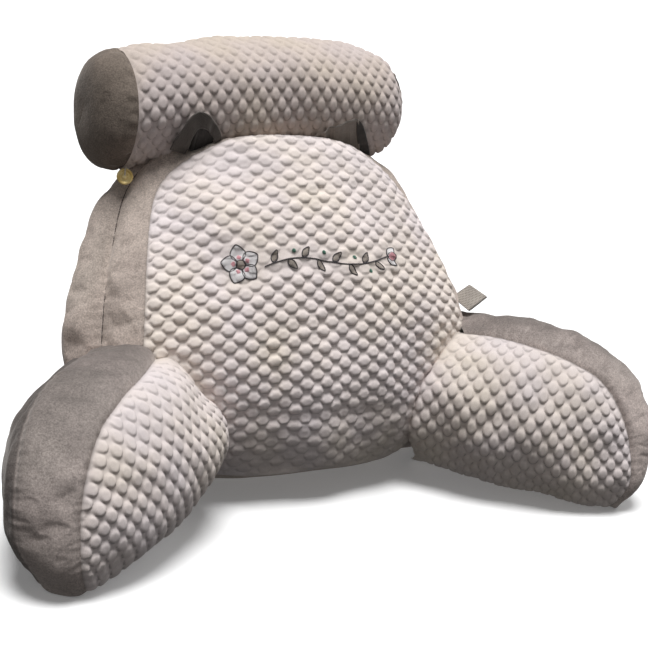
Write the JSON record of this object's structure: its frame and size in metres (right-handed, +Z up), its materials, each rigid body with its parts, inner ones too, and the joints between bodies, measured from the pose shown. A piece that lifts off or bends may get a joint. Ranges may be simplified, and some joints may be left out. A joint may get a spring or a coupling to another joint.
{
  "type": "triangle backrest pillow",
  "caption": "Wedge backrest pillow with splayed armrests and a neck roll tied over the top, bubble-quilted front and velvet sides.",
  "frame": {"origin": "middle of the bounding box at floor level", "axes": "+X towards the sitter's left as seen from the front, across the pillow; +Y from the sitter's side to the back; +Z up"},
  "size_m": [0.7352, 0.4094, 0.4699],
  "materials": {
    "quilt": "bubble-quilted soft knit, matt with a faint sheen",
    "velvet": "short-pile taupe velvet",
    "ribbon": "ribbed woven ribbon",
    "brass": "satin brass-coloured metal"
  },
  "bodies": {
    "root": {"backrest_cushion": "velvet", "backrest_gusset": "velvet", "backrest_front_panel": "quilt", "arm_right_cushion": "velvet", "arm_right_gusset": "velvet", "arm_right_inner_panel": "quilt", "arm_left_cushion": "velvet", "arm_left_gusset": "velvet", "arm_left_inner_panel": "quilt", "neck_roll": "quilt", "neck_roll_end_left": "velvet", "neck_roll_end_right": "velvet", "roll_tie_left": "ribbon", "roll_tie_right": "ribbon", "roll_button": "brass", "side_loop": "ribbon"}
  },
  "joints": []
}
